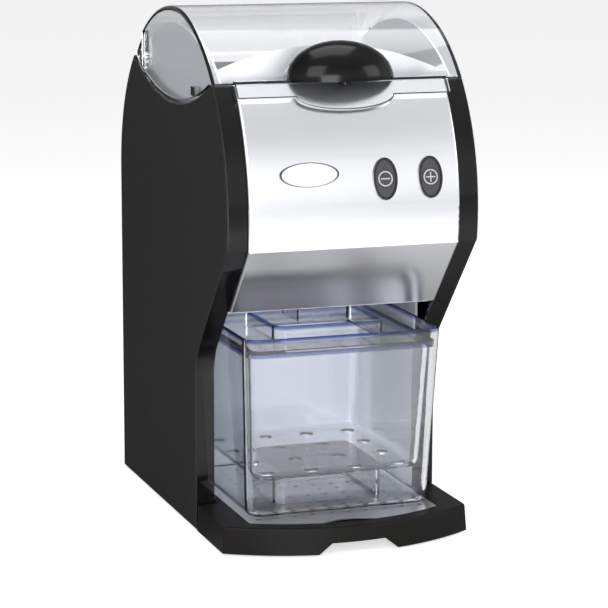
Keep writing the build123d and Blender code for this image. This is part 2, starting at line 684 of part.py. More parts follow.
for side, name in ((1, "right"), (-1, "left")):
    with BuildPart() as pivot_screw:
        with BuildSketch(Plane.YZ.offset(side * plate_out)):
            with Locations((pivot_y, pivot_z)):
                Circle(6)
        extrude(amount=side * (ear_half - ear_wall - run_gap - plate_out))
        with BuildSketch(Plane.YZ.offset(side * plate_out)):
            with Locations((pivot_y, pivot_z)):
                Circle(pivot_r)
        extrude(amount=side * (ear_half + run_gap + 0.5 - plate_out))
        with BuildSketch(Plane.YZ.offset(side * (ear_half + run_gap))):
            with Locations((pivot_y, pivot_z)):
                Circle(pivot_head_r)
        extrude(amount=side * pivot_head_t)
        fillet(pivot_screw.faces().sort_by(Axis.X)[-1 if side > 0 else 0].edges(), 1.6)
        with BuildSketch(Plane.YZ.offset(side * (ear_half + run_gap + pivot_head_t))):
            with Locations((pivot_y, pivot_z)):
                Rectangle(14, 1.4)
        extrude(amount=-side * 1.2, mode=Mode.SUBTRACT)
    keep(pivot_screw, "pivot_screw_" + name)

pan_front_y, pan_rear_y = yf + pan_front_in, yr - pan_rear_in
hop_top = (2 * (plate_x - fit_gap / 2), pan_rear_y - pan_front_y)   # top opening of the pan
hop_mid_y = (pan_front_y + pan_rear_y) / 2
with BuildPart() as hopper_pan:
    with BuildSketch(Plane.XY.offset(hopper_top_z)):
        with Locations((0, hop_mid_y)):
            Rectangle(*hop_top)
    with BuildSketch(Plane.XY.offset(hopper_low_z)):
        with Locations((0, rotor_y)):
            Rectangle(2 * throat_half_x + 2 * hopper_sheet, 2 * throat_half_y + 2 * hopper_sheet)
    loft(ruled=True)
    with BuildSketch(Plane.XY.offset(hopper_low_z)):
        with Locations((0, rotor_y)):
            Rectangle(2 * throat_half_x + 2 * hopper_sheet, 2 * throat_half_y + 2 * hopper_sheet)
    extrude(amount=crusher_top_z - hopper_low_z)
    with BuildSketch(Plane.XY.offset(hopper_top_z + 1)):
        with Locations((0, hop_mid_y)):
            Rectangle(hop_top[0] - 2 * hopper_sheet, hop_top[1] - 2 * hopper_sheet)
    with BuildSketch(Plane.XY.offset(hopper_low_z)):
        with Locations((0, rotor_y)):
            Rectangle(2 * throat_half_x, 2 * throat_half_y)
    loft(ruled=True, mode=Mode.SUBTRACT)
    with BuildSketch(Plane.XY.offset(hopper_low_z + 0.5)):
        with Locations((0, rotor_y)):
            Rectangle(2 * throat_half_x, 2 * throat_half_y)
    extrude(amount=crusher_top_z - hopper_low_z - 1, mode=Mode.SUBTRACT)
keep(hopper_pan, "hopper_pan")

# arched splash guard across the hopper, behind the grip
guard_top = lid_arc_z(guard_y, lid_roof) - guard_gap
guard_half = plate_x - fit_gap / 2
with BuildPart() as hopper_guard:
    with BuildSketch(Plane.XZ.offset(-guard_y)):
        with BuildLine():
            Polyline((guard_half, guard_top - guard_fall), (guard_half, hopper_top_z + run_gap),
                     (-guard_half, hopper_top_z + run_gap), (-guard_half, guard_top - guard_fall))
            ThreePointArc((-guard_half, guard_top - guard_fall), (0, guard_top),
                          (guard_half, guard_top - guard_fall))
        make_face()
    extrude(amount=guard_t)
keep(hopper_guard, "hopper_guard")

# sensor on the left hopper side, under the magnet
with BuildPart() as lid_sensor:
    with BuildSketch(Plane.YZ.offset(-plate_out)):
        with Locations((magnet_y, dip_at(magnet_y, dip_r) - 16)):
            Rectangle(24, 14)
    extrude(amount=-4.6)
keep(lid_sensor, "lid_sensor")

# ------------------------------------------------------------------ crusher
with BuildPart() as crusher_housing:
    with BuildSketch(Plane.XY.offset(crusher_low_z)):
        with Locations((0, rotor_y)):
            Rectangle(2 * crusher_half_x, 2 * crusher_half_y)
    extrude(amount=crusher_top_z - crusher_low_z)
    # legs down to the deck
    with BuildSketch(Plane.XY.offset(deck_top)):
        for side in (-1, 1):
            with Locations((side * (crusher_half_x - crusher_leg / 2), rotor_y)):
                Rectangle(crusher_leg, 2 * crusher_half_y)
    extrude(amount=crusher_low_z - deck_top)
    with BuildSketch(Plane.YZ.offset(-throat_half_x)):
        with Locations((rotor_y, rotor_z)):
            Circle(chamber_r)
    extrude(amount=2 * throat_half_x, mode=Mode.SUBTRACT)
    with BuildSketch(Plane.XY.offset(crusher_low_z - 1)):
        with Locations((0, rotor_y)):
            Rectangle(2 * throat_half_x, 2 * throat_half_y)
    extrude(amount=crusher_top_z - crusher_low_z + 2, mode=Mode.SUBTRACT)
    with BuildSketch(Plane.YZ.offset(-crusher_half_x - 1)):
        with Locations((rotor_y, rotor_z)):
            Circle(bearing_r)
    extrude(amount=2 * crusher_half_x + 2, mode=Mode.SUBTRACT)
    # window for the breaker comb
    with BuildSketch(Plane.XZ.offset(-rotor_y + chamber_r - 6)):
        with Locations((0, rotor_z)):
            Rectangle(2 * (throat_half_x - comb_end), comb_h)
    extrude(amount=20, mode=Mode.SUBTRACT)
keep(crusher_housing, "crusher_housing")

with BuildPart() as breaker_comb:
    with BuildSketch(Plane.XZ.offset(-rotor_y + chamber_r)):
        with Locations((0, rotor_z)):
            Rectangle(2 * (throat_half_x - comb_end) - fit_gap, comb_h - fit_gap)
    extrude(amount=crusher_half_y - chamber_r)
    with BuildSketch(Plane.XZ.offset(-rotor_y + drum_r + comb_gap)):
        for k in range(tooth_rings - 1):
            with Locations(((k - (tooth_rings - 2) / 2) * tooth_pitch, rotor_z)):
                Rectangle(comb_bar, comb_bar_h)
    extrude(amount=chamber_r - drum_r - comb_gap + 0.5)
keep(breaker_comb, "breaker_comb")

for side, name in ((1, "right"), (-1, "left")):
    with BuildPart() as bearing:
        with BuildSketch(Plane.YZ.offset(side * throat_half_x)):
            with Locations((rotor_y, rotor_z)):
                Circle(bearing_r - 0.02)
                Circle(shaft_r + 0.05, mode=Mode.SUBTRACT)
        extrude(amount=side * (crusher_half_x + gear_plate_t - throat_half_x))
    keep(bearing, "bearing_" + name)

with BuildPart() as rotor_drum:
    with BuildSketch(Plane.YZ.offset(-drum_half)):
        with Locations((rotor_y, rotor_z)):
            Circle(drum_r)
            Circle(shaft_r, mode=Mode.SUBTRACT)
    extrude(amount=2 * drum_half)
    for ring in range(tooth_rings):
        x = (ring - (tooth_rings - 1) / 2) * tooth_pitch - tooth_wide / 2
        with BuildSketch(Plane.YZ.offset(x)):
            with Locations((rotor_y, rotor_z)):
                with PolarLocations((tooth_reach + drum_r - 2) / 2, teeth_per_ring, start_angle=ring * 18.0 + 9):
                    Rectangle(tooth_reach - drum_r + 2, tooth_long)
        extrude(amount=tooth_wide)
keep(rotor_drum, "rotor_drum")

with BuildPart() as rotor_shaft:
    with BuildSketch(Plane.YZ.offset(-crusher_half_x - shaft_over)):
        with Locations((rotor_y, rotor_z)):
            Circle(shaft_r)
    extrude(amount=crusher_half_x + shaft_over + gear_x + gear_face + gear_end)
keep(rotor_shaft, "rotor_shaft")


def gear(teeth, phase, cy, cz, bore, hub_r):
    with BuildPart() as wheel:
        with BuildSketch(Plane.YZ.offset(gear_x)):
            with Locations((cy, cz)):
                with BuildLine(mode=Mode.PRIVATE) as outline:
                    Polyline(*gear_points(teeth, phase), close=True)
                make_face(outline.edges())
                Circle(bore, mode=Mode.SUBTRACT)
        extrude(amount=gear_face)
        if hub_r > 0:
            with BuildSketch(Plane.YZ.offset(gear_x - hub_over)):
                with Locations((cy, cz)):
                    Circle(hub_r)
                    Circle(bore, mode=Mode.SUBTRACT)
            extrude(amount=gear_face + 2 * hub_over)
    return wheel


rotor_gear = gear(rotor_teeth, rotor_phase, 0, 0, shaft_r, 2 * shaft_r)
with BuildPart() as rotor_gear_placed:
    add(rotor_gear.part.moved(Location((0, rotor_y, rotor_z))))
keep(rotor_gear_placed, "rotor_gear")

idler_gear = gear(idler_teeth, idler_phase, 0, 0, stud_r + pivot_clear, 2 * stud_r)
with BuildPart() as idler_gear_placed:
    add(idler_gear.part.moved(Location((0, idler_y, idler_z))))
keep(idler_gear_placed, "idler_gear")

pinion = gear(pinion_teeth, pinion_phase, 0, 0, motor_shaft_r, 0)
with BuildPart() as motor_pinion:
    add(pinion.part.moved(Location((0, motor_y, motor_z))))
keep(motor_pinion, "motor_pinion")

with BuildPart() as motor_shaft:
    with BuildSketch(Plane.YZ.offset(crusher_half_x - motor_shaft_in)):
        with Locations((motor_y, motor_z)):
            Circle(motor_shaft_r)
    extrude(amount=gear_x + gear_face + gear_end - crusher_half_x + motor_shaft_in)
keep(motor_shaft, "motor_shaft")

# plate that joins crusher, idler stud and motor
with BuildPart() as gear_plate:
    with BuildSketch(Plane.YZ.offset(crusher_half_x)):
        with Locations(((rotor_y - crusher_half_y + motor_y + motor_r) / 2,
                        (deck_top + rotor_z + gear_plate_up) / 2)):
            Rectangle(motor_y + motor_r - rotor_y + crusher_half_y, rotor_z + gear_plate_up - deck_top)
        with Locations((rotor_y, rotor_z)):
            Circle(bearing_r, mode=Mode.SUBTRACT)
        with Locations((motor_y, motor_z)):
            Circle(motor_nose_r, mode=Mode.SUBTRACT)
    extrude(amount=gear_plate_t)
keep(gear_plate, "gear_plate")

with BuildPart() as idler_stud:
    with BuildSketch(Plane.YZ.offset(crusher_half_x + gear_plate_t)):
        with Locations((idler_y, idler_z)):
            Circle(stud_r)
    extrude(amount=gear_x + gear_face + gear_end + 2 - crusher_half_x - gear_plate_t)
    with BuildSketch(Plane.YZ.offset(gear_x + gear_face + hub_over + run_gap)):
        with Locations((idler_y, idler_z)):
            Circle(1.5 * stud_r)
    extrude(amount=stud_head_t)
keep(idler_stud, "idler_stud")

with BuildPart() as motor:
    with BuildSketch(Plane.YZ.offset(crusher_half_x - motor_length)):
        with Locations((motor_y, motor_z)):
            Circle(motor_r)
    extrude(amount=motor_length)
    chamfer(motor.faces().sort_by(Axis.X)[0].edges(), 5)
    with BuildSketch(Plane.YZ.offset(crusher_half_x)):
        with Locations((motor_y, motor_z)):
            Circle(motor_nose_r - pivot_clear)
    extrude(amount=gear_plate_t)
    with BuildSketch(Plane.YZ.offset(crusher_half_x - motor_shaft_in - 1)):
        with Locations((motor_y, motor_z)):
            Circle(motor_shaft_r + pivot_clear)
    extrude(amount=motor_shaft_in + 2 + gear_plate_t, mode=Mode.SUBTRACT)
    # foot down to the deck
    with BuildSketch(Plane.XY.offset(deck_top)):
        with Locations((crusher_half_x - motor_length / 2, motor_y)):
            Rectangle(motor_length - 2 * motor_foot_in, motor_foot_w)
    extrude(amount=motor_lift + 8)
keep(motor, "motor")

# ------------------------------------------------------------- chute, spout
with BuildPart() as chute:
    with BuildSketch(Plane.XY.offset(crusher_low_z)):
        with Locations((0, rotor_y)):
            Rectangle(2 * (throat_half_x + chute_seat), 2 * (throat_half_y + chute_seat))
    with BuildSketch(Plane.XY.offset(deck_top + 1)):
        with Locations((0, (spout_front_y + spout_rear_y) / 2)):
            Rectangle(2 * spout_half_x, spout_rear_y - spout_front_y)
    loft(ruled=True)
    with BuildSketch(Plane.XY.offset(deck_top + 1)):
        with Locations((0, (spout_front_y + spout_rear_y) / 2)):
            Rectangle(2 * spout_half_x, spout_rear_y - spout_front_y)
    extrude(amount=-deck_t - 1)
    with BuildSketch(Plane.XY.offset(crusher_low_z)):
        with Locations((0, rotor_y)):
            Rectangle(2 * throat_half_x - 1, 2 * throat_half_y - 1)
    with BuildSketch(Plane.XY.offset(deck_top + 1)):
        with Locations((0, (spout_front_y + spout_rear_y) / 2)):
            Rectangle(2 * (spout_half_x - spout_wall), spout_rear_y - spout_front_y - 2 * spout_wall)
    loft(ruled=True, mode=Mode.SUBTRACT)
    with BuildSketch(Plane.XY.offset(deck_top + 1.5)):
        with Locations((0, (spout_front_y + spout_rear_y) / 2)):
            Rectangle(2 * (spout_half_x - spout_wall), spout_rear_y - spout_front_y - 2 * spout_wall)
    extrude(amount=-deck_t - 3, mode=Mode.SUBTRACT)
keep(chute, "chute")

with BuildPart() as spout:
    with BuildSketch(Plane.XY.offset(spout_low_z)):
        with Locations((0, (spout_front_y + spout_rear_y) / 2)):
            Rectangle(2 * spout_half_x, spout_rear_y - spout_front_y)
            Rectangle(2 * (spout_half_x - spout_wall), spout_rear_y - spout_front_y - 2 * spout_wall,
                      mode=Mode.SUBTRACT)
    extrude(amount=deck_z - spout_low_z)
    with BuildSketch(Plane.XY.offset(deck_z)):
        with Locations((0, (spout_front_y + spout_rear_y) / 2)):
            Rectangle(2 * (spout_half_x + spout_flange), spout_long + 2 * (spout_flange - 1))
            Rectangle(2 * (spout_half_x - spout_wall), spout_rear_y - spout_front_y - 2 * spout_wall,
                      mode=Mode.SUBTRACT)
    extrude(amount=-2)
    with BuildSketch(Plane.XZ.offset(-spout_front_y - 5)):
        with Locations((0, spout_low_z)):
            Circle(spout_notch_r)
    extrude(amount=10, mode=Mode.SUBTRACT)
keep(spout, "spout")

# ------------------------------------------------------------------ chassis
deck_front_y = slant_y(skin, deck_z) + 3
with BuildPart() as base_plate:
    with BuildSketch(Plane.XY.offset(base_z)):
        with Locations((0, (column_front_y + skin + 1 + back_y - back_sheet - fit_gap) / 2)):
            Rectangle(2 * (inner_x - fit_gap), back_y - back_sheet - fit_gap - column_front_y - skin - 1)
    extrude(amount=base_t)
keep(base_plate, "base_plate")

foot_xy = [(sx * (inner_x - foot_in), y) for sx in (-1, 1) for y in (column_front_y + foot_end, back_y - foot_end + 1.5)]
with BuildPart() as feet:
    with BuildSketch(Plane.XY):
        with Locations(*foot_xy):
            Circle(foot_r)
    extrude(amount=base_z)
    chamfer(feet.faces().filter_by(Axis.Z).group_by(Axis.Z)[0].edges(), 1)
keep(feet, "feet")

with BuildPart() as deck:
    with BuildSketch(Plane.XY.offset(deck_z)):
        with Locations((0, (back_y - back_sheet - fit_gap + deck_front_y) / 2)):
            Rectangle(2 * (inner_x - fit_gap), back_y - back_sheet - fit_gap - deck_front_y)
        with Locations((0, (spout_front_y + spout_rear_y) / 2)):
            Rectangle(2 * spout_half_x + fit_gap, spout_rear_y - spout_front_y + fit_gap, mode=Mode.SUBTRACT)
    extrude(amount=deck_t)
keep(deck, "deck")

for side, name in ((1, "right"), (-1, "left")):
    with BuildPart() as bay_side:
        with BuildSketch(Plane.YZ.offset(side * bay_half)):
            with Locations(((column_front_y + skin + fit_gap + bay_back_y) / 2, (base_top + deck_z) / 2)):
                Rectangle(bay_back_y - column_front_y - skin - fit_gap, deck_z - base_top)
        extrude(amount=side * bay_sheet)
    keep(bay_side, "bay_side_" + name)

with BuildPart() as bay_back:
    with BuildSketch(Plane.XY.offset(base_top)):
        with Locations((0, bay_back_y + bay_sheet / 2)):
            Rectangle(2 * (bay_half + bay_sheet), bay_sheet)
    extrude(amount=deck_z - base_top)
keep(bay_back, "bay_back")

with BuildPart() as back_panel:
    with BuildSketch(Plane.YZ.offset(-(inner_x - fit_gap))):
        with BuildLine():
            r_out, r_in = rear_arc_r - back_recess, rear_arc_r - back_recess - back_sheet
            y_at = lambda r, z: rear_arc_y + sqrt(r**2 - (z - rear_arc_z) ** 2)
            z_mid = (rear_arc_z + back_top_z) / 2
            Line((back_y, base_z), (back_y, rear_arc_z))
            ThreePointArc((back_y, rear_arc_z), (y_at(r_out, z_mid), z_mid), (y_at(r_out, back_top_z), back_top_z))
            Line((y_at(r_out, back_top_z), back_top_z), (y_at(r_in, back_top_z), back_top_z))
            ThreePointArc((y_at(r_in, back_top_z), back_top_z), (y_at(r_in, z_mid), z_mid),
                          (back_y - back_sheet, rear_arc_z))
            Polyline((back_y - back_sheet, rear_arc_z), (back_y - back_sheet, base_z), (back_y, base_z))
        make_face()
    extrude(amount=2 * (inner_x - fit_gap))
    # cooling slots and the inlet's window
    with BuildSketch(Plane.XZ.offset(-back_y - 1)):
        with Locations((0, vent_z)):
            with GridLocations(vent_pitch_x, vent_pitch_z, 2, vent_rows):
                SlotOverall(vent_w, vent_h)
        with Locations((inlet_x, inlet_z)):
            Rectangle(inlet_w + fit_gap, inlet_h + fit_gap)
    extrude(amount=back_sheet + 2, mode=Mode.SUBTRACT)
keep(back_panel, "back_panel")

with BuildPart() as power_inlet:
    with BuildSketch(Plane.XZ.offset(-back_y)):
        with Locations((inlet_x, inlet_z)):
            Rectangle(inlet_w, inlet_h)
    extrude(amount=inlet_deep)
    with BuildSketch(Plane.XZ.offset(-back_y)):
        with Locations((inlet_x, inlet_z)):
            Rectangle(inlet_w + 5, inlet_h + 5)
            Rectangle(inlet_w - 1, inlet_h - 1, mode=Mode.SUBTRACT)
    extrude(amount=-1.5)
    with BuildSketch(Plane.XZ.offset(-back_y - 2)):
        with Locations((inlet_x, inlet_z)):
            Rectangle(inlet_hole_w, inlet_hole_h)
    extrude(amount=inlet_hole_deep + 2, mode=Mode.SUBTRACT)
    for dx, dz in ((-7, 1.5), (7, 1.5), (0, -2.5)):
        with BuildSketch(Plane.XZ.offset(-back_y + inlet_hole_deep)):
            with Locations((inlet_x + dx, inlet_z + dz)):
                Rectangle(2, 4)
        extrude(amount=-11)
keep(power_inlet, "power_inlet")

with BuildPart() as back_screws:
    with BuildSketch(Plane.XZ.offset(-back_y)):
        with Locations(*[(sx * (inner_x - screw_in), z) for sx in (-1, 1) for z in screw_zs]):
            Circle(screw_r)
    extrude(amount=-screw_t)
keep(back_screws, "back_screws")

with BuildPart() as capacitor:
    with BuildSketch(Plane.XY.offset(base_top)):
        with Locations((cap_x, cap_y)):
            Circle(cap_r)
    extrude(amount=cap_h)
    chamfer(capacitor.faces().sort_by(Axis.Z)[-1].edges(), 2)
keep(capacitor, "capacitor")

with BuildPart() as control_board:
    with BuildSketch(Plane.XZ.offset(-(bay_back_y + bay_sheet))):
        with Locations((0, board_z)):
            Rectangle(board_w, board_h)
    extrude(amount=board_t, dir=(0, 1, 0))
keep(control_board, "control_board")


# ---------------------------------------------------------------- drip tray
def tray_outline(z, half_x, corner_y, front_y, rear_y):
    with BuildSketch(Plane.XY.offset(z), mode=Mode.PRIVATE) as face:
        with BuildLine():
            Polyline((half_x, corner_y), (half_x, rear_y), (-half_x, rear_y), (-half_x, corner_y))
            ThreePointArc((-half_x, corner_y), (0, front_y), (half_x, corner_y))
        make_face()
    return face.sketch


tray_low = base_top + run_gap                   # underside of the tongue and basin
basin = grille_seat + 0.5
with BuildPart() as drip_tray:
    add(tray_outline(panel_lift, half, tray_corner_y, tray_front_y, tray_rear_y))
    add(tray_outline(tray_top_z, half - tray_flare_side, tray_corner_y + 2,
                     tray_front_y + tray_flare_front, tray_rear_y))
    loft(ruled=True)
    # hollow from below
    add(tray_outline(panel_lift, half - tray_wall, tray_corner_y + tray_wall,
                     tray_front_y + tray_wall, tray_rear_y - tray_wall))
    add(tray_outline(tray_top_z - tray_wall, half - tray_wall - tray_flare_side, tray_corner_y + tray_wall + 2,
                     tray_front_y + tray_wall + tray_flare_front, tray_rear_y - tray_wall))
    loft(ruled=True, mode=Mode.SUBTRACT)
    # basin and the tongue that runs into the bay
    add(tray_outline(tray_low, grille_half + tray_wall, grille_corner_y - tray_wall + 1,
                     grille_front_y - tray_wall, tray_rear_y))
    extrude(amount=tray_top_z - tray_low)
    with BuildSketch(Plane.XY.offset(tray_low)):
        with Locations((0, (tray_rear_y - 1 + tongue_rear_y) / 2)):
            Rectangle(2 * tongue_half, tongue_rear_y - tray_rear_y + 1)
    extrude(amount=tray_top_z - tray_low)
    add(tray_outline(tray_low + tray_floor, grille_half - grille_seat, grille_corner_y + grille_seat,
                     grille_front_y + grille_seat, grille_rear_y - grille_seat))
    extrude(amount=tray_top_z, mode=Mode.SUBTRACT)
    add(tray_outline(grille_top_z - grille_sheet, grille_half + fit_gap, grille_corner_y - fit_gap,
                     grille_front_y - fit_gap, grille_rear_y + fit_gap))
    extrude(amount=tray_top_z, mode=Mode.SUBTRACT)
    # finger notch under the front edge
    with BuildSketch(Plane.XZ.offset(-tray_front_y - notch_deep)):
        with BuildLine():
            Polyline((-notch_half, panel_lift - 1), (notch_half, panel_lift - 1),
                     (notch_top_half, panel_lift + notch_h), (-notch_top_half, panel_lift + notch_h), close=True)
        make_face()
    extrude(amount=30, mode=Mode.SUBTRACT)
    fillet(drip_tray.edges().filter_by(GeomType.CIRCLE).group_by(Axis.Z)[-1].sort_by(Axis.Y)[0], 2.0)
keep(drip_tray, "drip_tray")

finger_r = (finger_half**2 + finger_depth**2) / (2 * finger_depth)
with BuildPart() as drip_grille:
    add(tray_outline(grille_top_z - grille_sheet, grille_half, grille_corner_y, grille_front_y, grille_rear_y))
    extrude(amount=grille_sheet)
    with BuildSketch(Plane.XY.offset(grille_top_z - grille_sheet)):
        with Locations((0, grille_front_y + finger_depth - finger_r)):
            Circle(finger_r)
        with Locations((0, grille_mid_y)):
            with GridLocations(grille_pitch_x, grille_pitch_y, grille_columns, grille_rows):
                Rectangle(grille_hole, grille_hole)
    extrude(amount=grille_sheet, mode=Mode.SUBTRACT)
keep(drip_grille, "drip_grille")


# ---------------------------------------------------------------------- bin
def round_rect(z, half_x, front, rear, r):
    with BuildSketch(Plane.XY.offset(z), mode=Mode.PRIVATE) as face:
        with Locations((0, (front + rear) / 2)):
            RectangleRounded(2 * half_x, rear - front, r)
    return face.sketch


with BuildPart() as bin_outer:
    add(round_rect(bin_low_z, bin_low_half, bin_low_front, bin_low_rear, bin_corner_r))
    add(round_rect(bin_top_z, bin_top_half, bin_top_front, bin_top_rear, bin_corner_r))
    loft(ruled=True)
    fillet(bin_outer.faces().sort_by(Axis.Z)[0].edges(), bin_foot_r)
    add(round_rect(bin_low_z + bin_wall, bin_low_half - bin_wall, bin_low_front + bin_wall,
                   bin_low_rear - bin_wall, bin_corner_r - bin_wall))
    add(round_rect(bin_top_z, bin_top_half - bin_wall, bin_top_front + bin_wall,
                   bin_top_rear - bin_wall, bin_corner_r - bin_wall))
    loft(ruled=True, mode=Mode.SUBTRACT)
    fillet(bin_outer.faces().filter_by(Axis.Z).sort_by(Axis.Z)[1].edges(), bin_foot_r - bin_wall)
    fillet(bin_outer.faces().sort_by(Axis.Z)[-1].edges(), bin_rim_r)
    # raised hollow block that carries the basket
    add(round_rect(bin_low_z + bin_wall - 0.5, pedestal_half_x, pedestal_front_y, pedestal_rear_y, pedestal_r))
    extrude(amount=pedestal_top_z - bin_low_z - bin_wall + 0.5)
    fillet(bin_outer.faces().filter_by(lambda f: abs(f.center().Z - pedestal_top_z) < 0.01).edges(), pedestal_round)
    add(round_rect(bin_low_z, pedestal_half_x - bin_wall, pedestal_front_y + bin_wall,
                   pedestal_rear_y - bin_wall, pedestal_r - bin_wall))
    extrude(amount=pedestal_top_z - bin_low_z - bin_wall, mode=Mode.SUBTRACT)
keep(bin_outer, "bin_outer")


def bin_inside(z):
    """Half width, front and rear of the bin's inner wall at height z."""
    share = (z - bin_low_z - bin_wall) / (bin_top_z - bin_low_z - bin_wall)
    mix = lambda a, b: a + (b - a) * share
    return (mix(bin_low_half, bin_top_half) - bin_wall, mix(bin_low_front, bin_top_front) + bin_wall,
            mix(bin_low_rear, bin_top_rear) - bin_wall)


flange_half, flange_front, flange_rear = bin_inside(basket_flange_z)
flange_half, flange_front, flange_rear = flange_half - basket_gap, flange_front + basket_gap, flange_rear - basket_gap
cup_half, cup_front, cup_rear = flange_half - basket_step, flange_front + basket_step, flange_rear - basket_step
with BuildPart() as bin_basket:
    add(round_rect(basket_flange_z, flange_half, flange_front, flange_rear, 10))
    extrude(amount=basket_flange_t)
    add(round_rect(pedestal_top_z, cup_half - basket_draft, cup_front + 2 * basket_draft,
                   cup_rear - basket_draft, basket_corner_r))
    add(round_rect(basket_flange_z + 1, cup_half, cup_front, cup_rear, basket_corner_r))
    loft(ruled=True)
    fillet(bin_basket.faces().sort_by(Axis.Z)[0].edges(), basket_foot_r)
    add(round_rect(pedestal_top_z + basket_wall, cup_half - basket_draft - basket_wall,
                   cup_front + 2 * basket_draft + basket_wall, cup_rear - basket_draft - basket_wall,
                   basket_corner_r - basket_wall))
    add(round_rect(basket_flange_z + basket_flange_t, cup_half - basket_wall, cup_front + basket_wall,
                   cup_rear - basket_wall, basket_corner_r - basket_wall))
    loft(ruled=True, mode=Mode.SUBTRACT)
    fillet(bin_basket.faces().filter_by(Axis.Z).sort_by(Axis.Z)[1].edges(), basket_foot_r - basket_wall)
    # drain holes, and the rings that the moulding gate leaves in the middle
    cup_mid_y = (cup_front + cup_rear + basket_draft) / 2
    with BuildSketch(Plane.XY.offset(pedestal_top_z)):
        with Locations((0, cup_mid_y)):
            with GridLocations(drain_pitch_x, drain_pitch_y, drain_count, drain_count):
                Circle(drain_r)
    extrude(amount=basket_foot_r, mode=Mode.SUBTRACT)
    with BuildSketch(Plane.XY.offset(pedestal_top_z + basket_wall)):
        with Locations((0, cup_mid_y)):
            for ring in (gate_ring_r, gate_r):
                Circle(ring)
                Circle(ring - gate_line, mode=Mode.SUBTRACT)
    extrude(amount=-gate_deep, mode=Mode.SUBTRACT)
keep(bin_basket, "bin_basket")

cover_low = basket_flange_z + basket_flange_t
with BuildPart() as bin_cover:
    add(round_rect(cover_low, flange_half, flange_front, flange_rear, 10))
    extrude(amount=cover_t)
    # upright wall round the drop opening, open to the rear
    add(round_rect(cover_low + cover_t, cover_wall_half, cover_wall_front, cover_wall_rear + 30, cover_wall_r))
    extrude(amount=cover_wall_top - cover_low - cover_t)
    add(round_rect(cover_low + cover_t, cover_wall_half - cover_t, cover_wall_front + cover_t,
                   cover_wall_rear + 60, cover_wall_r - cover_t))
    extrude(amount=cover_wall_top - cover_low, mode=Mode.SUBTRACT)
    with BuildSketch(Plane.XY.offset(cover_low + cover_t)):
        with Locations((0, cover_wall_rear)):
            Rectangle(2 * cover_wall_half + 10, 80, align=(Align.CENTER, Align.MIN))
    extrude(amount=40, mode=Mode.SUBTRACT)
    hole_in = cover_t + cover_hole_in
    add(round_rect(cover_low, cover_wall_half - hole_in, cover_wall_front + hole_in, cover_wall_rear,
                   cover_wall_r - hole_in))
    extrude(amount=cover_t, mode=Mode.SUBTRACT)
keep(bin_cover, "bin_cover")

print(len(made), "pieces")
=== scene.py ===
"""Electric countertop ice crusher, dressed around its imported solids.

Metres, +Z up, the buttons and the drip tray face -Y.
"""
from math import radians

import bmesh
import bpy
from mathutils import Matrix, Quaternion, Vector


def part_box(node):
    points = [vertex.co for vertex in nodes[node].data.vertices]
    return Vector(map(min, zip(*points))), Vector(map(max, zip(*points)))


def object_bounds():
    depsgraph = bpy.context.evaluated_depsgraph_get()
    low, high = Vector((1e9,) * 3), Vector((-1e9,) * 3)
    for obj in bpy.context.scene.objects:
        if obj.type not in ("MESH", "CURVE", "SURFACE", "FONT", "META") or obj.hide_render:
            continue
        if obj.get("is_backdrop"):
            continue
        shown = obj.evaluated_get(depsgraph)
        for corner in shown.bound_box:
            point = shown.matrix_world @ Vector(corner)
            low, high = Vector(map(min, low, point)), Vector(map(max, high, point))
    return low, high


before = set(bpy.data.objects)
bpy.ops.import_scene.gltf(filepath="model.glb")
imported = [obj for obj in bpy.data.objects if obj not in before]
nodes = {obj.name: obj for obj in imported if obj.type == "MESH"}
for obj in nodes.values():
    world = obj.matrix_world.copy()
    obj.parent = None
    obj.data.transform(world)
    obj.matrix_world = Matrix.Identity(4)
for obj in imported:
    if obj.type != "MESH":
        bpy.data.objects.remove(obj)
cad_box = [list(corner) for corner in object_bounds()]
scene = bpy.context.scene
scene.view_settings.view_transform = "Standard"

# ------------------------------------------------------------------ studio
# A pale table top under a white tent.  The brightest soft box stands at the
# front left; a low one lights the bay.  The camera looks from the front left.
CAMERA_AT = Vector((-0.706218, -2.019159, 0.595177))
CAMERA_AIM = Vector((-0.001147, -0.0335, 0.195812))
CAMERA_LENS = 139.127
CAMERA_ROLL = radians(0.18538)


class Val:
    """A number that changes over a surface; arithmetic on it adds Math nodes."""

    def __init__(self, finish, socket):
        self.finish, self.socket = finish, socket

    def math(self, operation, *others):
        return self.finish.add("ShaderNodeMath", [self, *others], operation=operation)

    def __add__(self, other):
        return self.math("ADD", other)

    def __sub__(self, other):
        return self.math("SUBTRACT", other)

    def __rsub__(self, other):
        return self.math("MULTIPLY_ADD", -1.0, other)

    def __mul__(self, other):
        return self.math("MULTIPLY", other)

    def __truediv__(self, other):
        return self.math("DIVIDE", other)

    def __pow__(self, other):
        return self.math("POWER", other)

    __radd__, __rmul__ = __add__, __mul__

    def fade(self, low, high):
        """0 below low, 1 above high, smooth between them."""
        ends = {"Value": self, "From Min": low, "From Max": high}
        return self.finish.add("ShaderNodeMapRange", ends, interpolation_type="SMOOTHSTEP")


